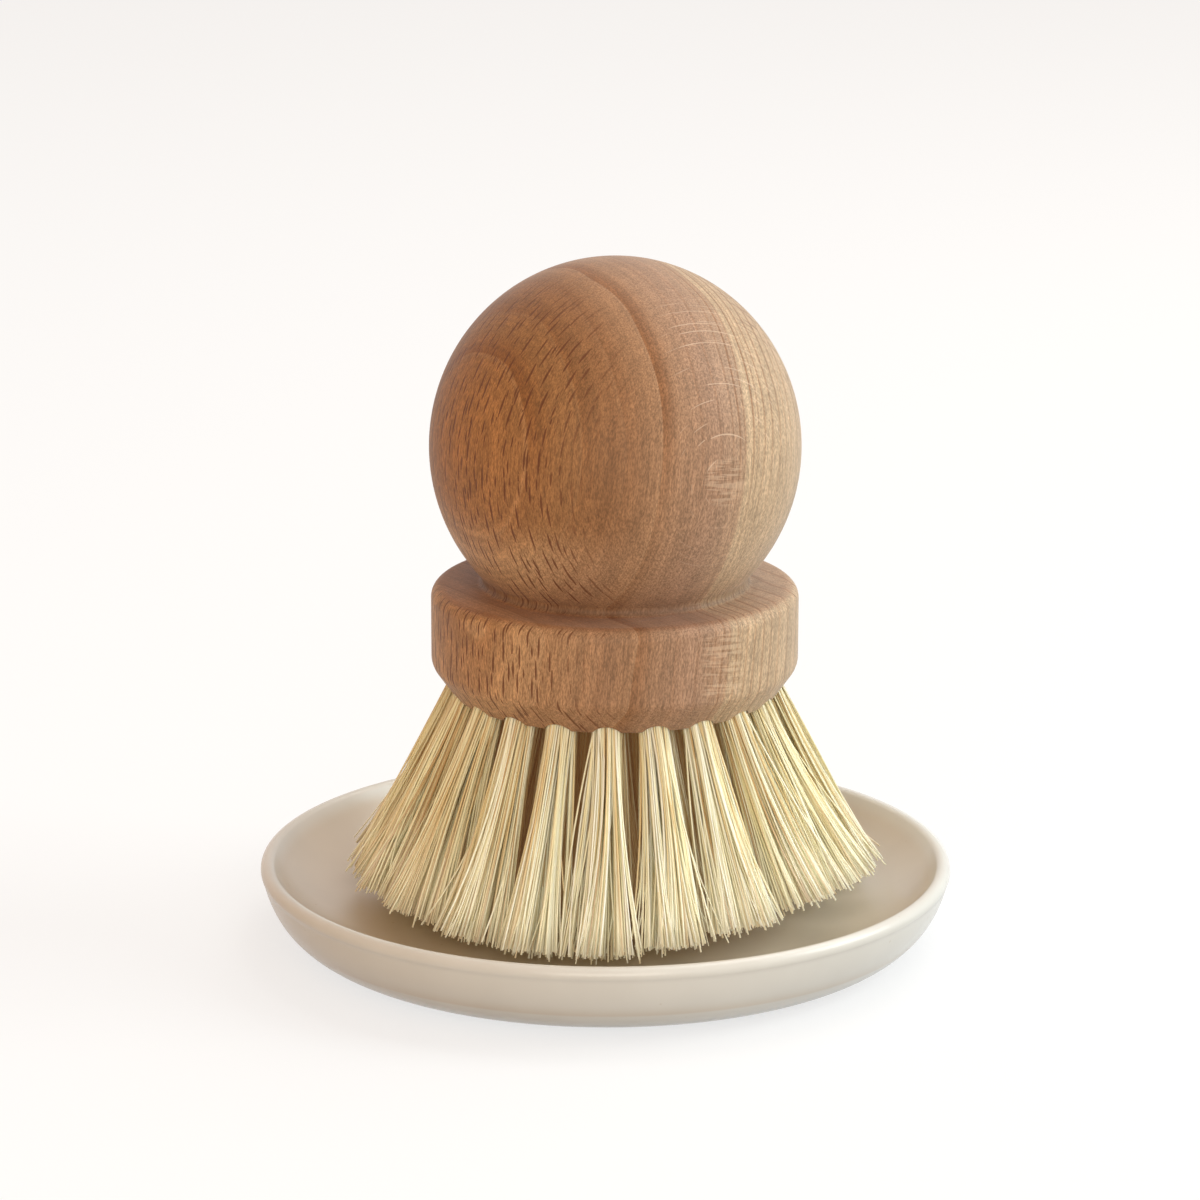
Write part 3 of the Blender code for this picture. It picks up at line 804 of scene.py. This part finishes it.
straight_across = node(tree, "SeparateXYZ", {0: grain}).outputs["X"]
across = maths(tree, "ADD", straight_across, wavering(tree, grain, *RING_WOBBLE))
late_wood, spring_wood = 0.0, 0.0
for ring_place, width, strength in RINGS:
    rise = spread(tree, across, ring_place - width, ring_place, 0.0, strength)
    fall = spread(tree, across, ring_place + RING_EDGE, ring_place)
    late_wood = maths(tree, "MAXIMUM", late_wood, product(tree, rise, fall))
    start = spread(tree, across, ring_place, ring_place + RING_EDGE * 2, 0.0, strength)
    end = spread(tree, across, ring_place + SPRING_WIDTH, ring_place + RING_EDGE)
    spring_wood = maths(tree, "MAXIMUM", spring_wood, product(tree, start, end))
print("growth rings:", len(RINGS))

# %% [markdown]
# ### Which face shows
#
# The same wood looks different on each face, so the material needs to know how the surface lies to the
# grain. The dot product of its normal with one of the grain's axes says that. The dark rings of this
# handle stand out high on the ball and on the disc's flat top, and are faint elsewhere.

# %% Find which face of the wood shows
# Two heights in millimetres, and how clear the rings are at each.
RINGS_HIGH = (-6, 16, 0.22, 1.0)
RINGS_LOW = (5, 0, 0.22, 0.55)
FLAT_TOP = (0.70, 0.95)


def facing(tree, normal, direction):
    """How squarely the surface faces along a direction, either way: 0 to 1."""
    dot = node(tree, "VectorMath", {0: normal, 1: direction}, operation="DOT_PRODUCT").outputs["Value"]
    return maths(tree, "ABSOLUTE", dot)


normal = place.outputs["Normal"]
on_open_rays = facing(tree, normal, (-math.sin(RINGS_FACE), math.cos(RINGS_FACE), 0.0))
on_ring_face = facing(tree, normal, (math.cos(RINGS_FACE), math.sin(RINGS_FACE), 0.0))
on_end_grain = facing(tree, normal, (0.0, 0.0, 1.0))
disc_face = product(tree, by_height(tree, height, DISC_TOP, 1, 0), spread(tree, on_end_grain, *FLAT_TOP))
shown_high = by_height(tree, height, BALL_MIDDLE[2], *RINGS_HIGH)
shown_low = by_height(tree, height, DISC_TOP, *RINGS_LOW)
shown = maths(tree, "MAXIMUM", maths(tree, "MAXIMUM", shown_high, shown_low), disc_face)
late_wood = product(tree, late_wood, shown)
print("nodes so far:", len(tree.nodes))

# %% [markdown]
# ### Colour across the rings
#
# A ramp over the whole width of the ball gives the wood its broad colours: pale on the pith side, then a
# deep red brown, and a little lighter at the bark. Low down on the bark side the colour is multiplied up
# as painted light, for light bounced up from below.

# %% Colour the wood across its rings
RING_SPAN = 54.0
BROAD_COLOURS = [
    (0.00, (0.50, 0.350, 0.220)),
    (0.425, (0.49, 0.345, 0.216)),
    (0.437, (0.39, 0.248, 0.156)),
    (0.53, (0.350, 0.207, 0.130)),
    (0.69, (0.345, 0.187, 0.098)),
    (0.79, (0.275, 0.128, 0.053)),
    (0.89, (0.320, 0.150, 0.057)),
    (1.00, (0.385, 0.170, 0.060)),
]
BARK_SIDE, LOW_DOWN = (10.0, 20.0), (16, 7)
BARK_PAINTED_LIGHT = (1.55, 1.88, 2.45, 1.0)


def ramp(tree, factor, stops):
    """A colour ramp from (place, colour) stops."""
    made = node(tree, "ValToRGB", {"Fac": factor})
    elements = made.color_ramp.elements
    while len(elements) < len(stops):
        elements.new(1.0)
    for element, (place, colour) in zip(elements, stops):
        element.position = place
        element.color = (*colour, 1.0)
    return made.outputs["Color"]


broad = ramp(tree, maths(tree, "MULTIPLY_ADD", across, 1 / RING_SPAN, 0.5), BROAD_COLOURS)
low_down = by_height(tree, height, DISC_TOP, *LOW_DOWN)
# Painted light: low on the bark side the wood is brightened, for light bounced up from below.
painted_light_low_on_bark = product(tree, spread(tree, across, *BARK_SIDE), low_down)
broad = mixed(tree, painted_light_low_on_bark, broad, BARK_PAINTED_LIGHT, "MULTIPLY")
print("colours across the wood:", len(BROAD_COLOURS))

# %% [markdown]
# ### Rays
#
# A ray is a thin ribbon: long across the rings, a few millimetres high and a fraction of a millimetre
# thick. Voronoi cells scatter them, one in each cell of a stretched grid. The dark ones are where the
# surface cuts the ribbons across, and the pale ones where it lies along them.

# %% Scatter the rays
# A cell in millimetres, and the fleck's half size as a share of it.
LONG_RAYS = ((14.0, 1.50, 3.8), (1.20, 0.14, 0.50))
SMALL_RAYS = ((6.0, 0.75, 1.9), (1.20, 0.13, 0.42))
PALE_RAYS = ((12.0, 1.1, 2.3), (1.20, 0.085, 0.45))
SMALL_RAY_SHARE = 0.55
RAY_WAVER = ((3.0, 3.0, 3.0), 1.0, 0.14)
RAY_LENGTHS = (0.55, 1.25)
FLECK_EDGE = (1.0, 0.65)
LEAST_STEEPNESS = 0.28


def flecks(tree, grain, cell, fleck, steepness):
    """One pointed fleck in each cell of a jittered grid, 1 inside and 0 outside.

    cell is in millimetres along the grain's axes, and fleck is the fleck's half size as a share of it.
    With the offset from the cell's point divided by the half sizes, a place is inside where
    |y| / steepness + x^2 + (z / own length)^2 is under 1. Steepness is the sine of the angle between the
    surface and the rays, so a ray that the surface cuts at a slant doesn't come out as a blotch."""
    scaled = vector_maths(tree, "DIVIDE", grain, cell)
    point = node(tree, "TexVoronoi", {"Vector": scaled, "Scale": 1.0, "Randomness": 1.0})
    offset = vector_maths(tree, "SUBTRACT", scaled, point.outputs["Position"])
    offset = node(tree, "SeparateXYZ", {0: vector_maths(tree, "DIVIDE", offset, fleck)})
    chance = node(tree, "SeparateColor", {0: point.outputs["Color"]}).outputs[0]
    own = spread(tree, chance, 0.0, 1.0, *RAY_LENGTHS)
    thin = maths(tree, "DIVIDE", maths(tree, "ABSOLUTE", offset.outputs["Y"]), steepness)
    long = maths(tree, "POWER", maths(tree, "DIVIDE", maths(tree, "ABSOLUTE", offset.outputs["Z"]), own), 2.0)
    deep = maths(tree, "MULTIPLY_ADD", offset.outputs["X"], offset.outputs["X"], thin)
    return spread(tree, maths(tree, "ADD", long, deep), *FLECK_EDGE)


slant = maths(tree, "SQRT", maths(tree, "SUBTRACT", 1.0, product(tree, on_open_rays, on_open_rays)))
steepness = maths(tree, "MAXIMUM", slant, LEAST_STEEPNESS)
waver = wavering(tree, grain, *RAY_WAVER)
wavy_grain = vector_maths(tree, "ADD", grain, node(tree, "CombineXYZ", {"Y": waver}).outputs[0])
long_rays = flecks(tree, wavy_grain, *LONG_RAYS, steepness)
small_rays = product(tree, flecks(tree, wavy_grain, *SMALL_RAYS, steepness), SMALL_RAY_SHARE)
dark_rays = maths(tree, "MAXIMUM", long_rays, small_rays)
pale_rays = flecks(tree, grain, *PALE_RAYS, steepness)
print("nodes so far:", len(tree.nodes))

# %% [markdown]
# ### Where the rays show
#
# Dark rays belong on the ring faces, and pale ones on the faces square to them. On this ball the pale
# ones are clear only high up and towards the pith.

# %% Keep each kind of ray to its own face
RINGS_FACED = (0.28, 0.58)
RAYS_FACED_LITTLE = (0.85, 0.50)
RAYS_FACED = (0.38, 0.72)
PITH_SIDE = (9.0, 3.0)
HIGH_UP = (-4, 6, 0.25, 1.0)

faced_little = spread(tree, on_open_rays, *RAYS_FACED_LITTLE)
rays_cut = product(tree, faced_little, spread(tree, on_ring_face, *RINGS_FACED))
high_up = by_height(tree, height, BALL_MIDDLE[2], *HIGH_UP)
pith_side = spread(tree, across, *PITH_SIDE)
rays_open = product(tree, high_up, pith_side, spread(tree, on_open_rays, *RAYS_FACED))
print("nodes so far:", len(tree.nodes))

# %% [markdown]
# ### Light and dark within the wood
#
# The two ring colours go over the broad one. Then four sizes of noise darken and lighten the wood: a fine
# stipple, the pores, slow changes of growth, and fine rings between the clear ones. Their product is one
# grey, and the colour is multiplied by it.

# %% Shade the wood
# Size, detail, the part of the noise that is used, and the shades that it gives.
MARKS = {
    "stipple": ((0.18, 0.16, 0.60), 2.0, (0.36, 0.64), (0.79, 1.21)),
    "pores": ((0.34, 0.30, 3.4), 2.0, (0.34, 0.66), (0.88, 1.12)),
    "growth": ((2.4, 2.0, 16.0), 1.0, (0.32, 0.68), (0.94, 1.06)),
    "fine_rings": ((0.42, 30.0, 60.0), 2.0, (0.34, 0.66), (0.90, 1.08)),
}
LATE_WOOD = (0.22, 0.080, 0.022, 1.0)
SPRING_WOOD, SPRING_SHARE = (0.58, 0.38, 0.22, 1.0), 0.14

marks, shade = {}, 1.0
for name, (size, detail, used, shades) in MARKS.items():
    marks[name] = streaks(tree, grain, size, detail)
    shade = product(tree, shade, spread(tree, marks[name], *used, *shades))
shade = node(tree, "CombineColor", {0: shade, 1: shade, 2: shade}).outputs[0]
colour = mixed(tree, late_wood, broad, LATE_WOOD)
colour = mixed(tree, product(tree, spring_wood, SPRING_SHARE), colour, SPRING_WOOD)
colour = mixed(tree, 1.0, colour, shade, "MULTIPLY")
print("kinds of mark:", ", ".join(marks))

# %% [markdown]
# ### Ripple, rays and shadow
#
# Over that lie the figure and the rays, each as a share and a colour. The figure is a ladder of fine
# pale and dark steps, and it shows only where the surface is almost exactly square to the rings. Last
# come the disc's top, which is darker than the ball, and a painted shade that darkens the neck's crease.

# %% Lay the figure and the rays over it
RIPPLE = ((3.4, 2.0, 0.34), 1.0)
SQUARE_ON = (0.988, 0.997)
FIGURE_PALE = ((0.50, 0.60), (0.32, (0.66, 0.48, 0.33, 1.0)))
FIGURE_DARK = ((0.48, 0.40), (0.24, (0.22, 0.11, 0.055, 1.0)))
OPEN_RAY = (0.55, (0.70, 0.52, 0.38, 1.0))
CUT_RAY = (0.85, (0.12, 0.034, 0.012, 1.0))
END_GRAIN = (0.14, (0.33, 0.18, 0.10, 1.0))
NECK_CREASE_PAINTED_SHADE = (0.55, (0.10, 0.045, 0.022, 1.0))
CREASE_FOOT, CREASE_TOP = 0.35, 2.2
DISC_SHADE = (0.84, 0.76, 0.74, 1.0)


def layered(tree, colour, cover, layer):
    """A layer, given as its share and colour, laid over a colour where cover is more than 0."""
    share, layer_colour = layer
    return mixed(tree, product(tree, cover, share), colour, layer_colour)


ripple = streaks(tree, grain, *RIPPLE)
ladder = spread(tree, on_open_rays, *SQUARE_ON)
for used, layer in (FIGURE_PALE, FIGURE_DARK):
    colour = layered(tree, colour, product(tree, ladder, spread(tree, ripple, *used)), layer)
colour = layered(tree, colour, product(tree, pale_rays, rays_open), OPEN_RAY)
colour = layered(tree, colour, product(tree, dark_rays, rays_cut), CUT_RAY)
colour = layered(tree, colour, maths(tree, "POWER", on_end_grain, 3.0), END_GRAIN)
colour = mixed(tree, disc_face, colour, DISC_SHADE, "MULTIPLY")
# Painted shade: the crease between the disc's top and the ball is darkened, as the shade there.
over_disc = by_height(tree, height, DISC_TOP, 0, CREASE_FOOT)
under_ball = by_height(tree, height, DISC_TOP, CREASE_TOP, CREASE_FOOT)
colour = layered(tree, colour, product(tree, over_disc, under_ball), NECK_CREASE_PAINTED_SHADE)
print("nodes so far:", len(tree.nodes))

# %% [markdown]
# ### Satin
#
# The handle is bare and sanded. Its gloss is low and soft, with a trace of sheen from the wood's nap.
# Pores and rays are the only relief, and they are very shallow.

# %% Finish the beech
BEECH_SATIN = {"Roughness": 0.55, "Specular IOR Level": 0.24, "Sheen Weight": 0.12, "Sheen Roughness": 0.40}
BEECH_RELIEF = {"Strength": 0.35, "Distance": 0.12 * MILLIMETRE}
RELIEF_SHARE = 0.5


def shaded(tree, inputs):
    """Ends a material's tree in one Principled shader."""
    shader = node(tree, "BsdfPrincipled", inputs)
    node(tree, "OutputMaterial", {"Surface": shader.outputs[0]})


relief = product(tree, maths(tree, "SUBTRACT", marks["pores"], dark_rays), RELIEF_SHARE)
bump = node(tree, "Bump", {"Height": relief, **BEECH_RELIEF}).outputs[0]
shaded(tree, {"Base Color": colour, "Normal": bump, **BEECH_SATIN})
handle.data.materials.clear()
handle.data.materials.append(beech)
print("beech has", len(tree.nodes), "nodes")

# %% [markdown]
# ## Glaze
#
# A cream glaze is not one colour: it is faintly cloudy and holds a few specks. Inside the well it is
# painted darker and warmer, as painted shade.
# Its gloss is soft, because the surface has a faint orange-peel. The foot ring is wiped clean of glaze
# before firing, so there the bare clay shows.

# %% Mix the glaze
CREAMS = [(0.30, (0.64, 0.615, 0.565)), (0.70, (0.69, 0.668, 0.62))]
CLOUD = {"Scale": 55.0, "Detail": 3.0}
PEEL = {"Scale": 190.0, "Detail": 2.0}
PEEL_RELIEF = {"Strength": 0.12, "Distance": 0.2 * MILLIMETRE}
SPECK_SCALE = 260.0
SPECK_EDGE, SPECK_SHARE = (0.075, 0.03), 0.35
SPECK_COLOUR = (0.50, 0.42, 0.32, 1.0)
WELL_PAINTED_SHADE = (0.91, 0.82, 0.73, 1.0)
WELL_EDGE = (49.2 * MILLIMETRE, 47.2 * MILLIMETRE)
WELL_BOTTOM = (4.0, 4.5)
CLAY = (0.70, 0.62, 0.52, 1.0)
WIPED_CLEAN = (0.35, 0.15)
GLAZE_ROUGHNESS, CLAY_ROUGHNESS = 0.24, 0.85

glaze, tree = new_finish("glaze")
place = node(tree, "TexCoord").outputs["Object"]
height = node(tree, "SeparateXYZ", {0: place}).outputs["Z"]
flat_place = vector_maths(tree, "MULTIPLY", place, (1.0, 1.0, 0.0))
radius = node(tree, "VectorMath", {0: flat_place}, operation="LENGTH").outputs["Value"]

colour = ramp(tree, node(tree, "TexNoise", {"Vector": place, **CLOUD}).outputs[0], CREAMS)
speck = node(tree, "TexVoronoi", {"Vector": place, "Scale": SPECK_SCALE}).outputs["Distance"]
colour = layered(tree, colour, spread(tree, speck, *SPECK_EDGE), (SPECK_SHARE, SPECK_COLOUR))
# Painted shade: the inside of the well is darkened and warmed by a multiply.
painted_shade_in_well = product(tree, spread(tree, radius, *WELL_EDGE), by_height(tree, height, 0.0, *WELL_BOTTOM))
colour = mixed(tree, painted_shade_in_well, colour, WELL_PAINTED_SHADE, "MULTIPLY")
bare = by_height(tree, height, 0.0, *WIPED_CLEAN)
colour = mixed(tree, bare, colour, CLAY)
gloss = spread(tree, bare, 0.0, 1.0, GLAZE_ROUGHNESS, CLAY_ROUGHNESS)
peel = node(tree, "TexNoise", {"Vector": place, **PEEL}).outputs[0]
bump = node(tree, "Bump", {"Height": peel, **PEEL_RELIEF}).outputs[0]
shaded(tree, {"Base Color": colour, "Roughness": gloss, "Normal": bump})
tray.data.materials.append(glaze)
print("glaze has", len(tree.nodes), "nodes")

# %% [markdown]
# ## Fibre
#
# Each fibre has one tone over its whole length, from golden brown to pale cream, and most are pale. The
# tone is in the UV map, as the first number, so one finish serves all the tufts of a ring. The second
# number is the share along the fibre: towards the hole the fibre is browned as painted shade, and at the
# cut end it is paler, partly the cut end's own colour and partly painted light.
# Real fibre lets some light through: it comes out brown deep in the brush, and nearly as it went in at
# the thin outer ends. These tubes let none through, so the fibres behind the outer tufts get a faint
# brown glow instead, and the outer ends a faint straw-coloured one.

# %% Mix the fibre
FIBRE_TONES = [
    (0.00, (0.50, 0.30, 0.11)),
    (0.07, (0.80, 0.60, 0.29)),
    (0.22, (0.94, 0.86, 0.54)),
    (0.55, (0.98, 0.95, 0.72)),
    (1.00, (0.99, 0.98, 0.86)),
]
# Where along the fibre each one begins and is full, and then its share and colour.
ROOT_PAINTED_SHADE = ((0.45, 0.08), (0.30, (0.64, 0.48, 0.25, 1.0)))
PALE_END_AND_PAINTED_LIGHT = ((0.50, 0.95), (0.35, (0.99, 0.98, 0.88, 1.0)))
GLOWING_END = (0.40, 0.95)
END_GLOW, END_GLOW_COLOUR = 0.036, (1.0, 0.97, 0.62, 1.0)
DEEP_GLOW, DEEP_GLOW_COLOUR = 0.030, (1.0, 0.56, 0.28, 1.0)
FIBRE_GLOSS = {"Roughness": 0.45, "Specular IOR Level": 0.5}


def mix_fibre(name, glow, glow_colour, at_the_ends):
    """A fibre's finish. It glows at the cut ends alone, or evenly over its length."""
    made, tree = new_finish(name)
    parts = node(tree, "SeparateXYZ", {0: node(tree, "UVMap", uv_map="tone_and_length").outputs["UV"]})
    length = parts.outputs["Y"]
    colour = ramp(tree, parts.outputs["X"], FIBRE_TONES)
    # Painted shade browns the fibre towards the hole, and the pale cut end is partly painted light.
    for run, layer in (ROOT_PAINTED_SHADE, PALE_END_AND_PAINTED_LIGHT):
        colour = layered(tree, colour, spread(tree, length, *run), layer)
    strength = spread(tree, length, *GLOWING_END, 0.0, glow) if at_the_ends else glow
    glowing = {"Emission Color": glow_colour, "Emission Strength": strength}
    shaded(tree, {"Base Color": colour, **FIBRE_GLOSS, **glowing})
    return made


fibre = mix_fibre("fibre", END_GLOW, END_GLOW_COLOUR, at_the_ends=True)
deep_fibre = mix_fibre("deep_fibre", DEEP_GLOW, DEEP_GLOW_COLOUR, at_the_ends=False)
for bundle in bundles:
    bundle.data.materials.append(fibre if "outer" in bundle.name else deep_fibre)
print("fibre has", len(fibre.node_tree.nodes), "nodes")
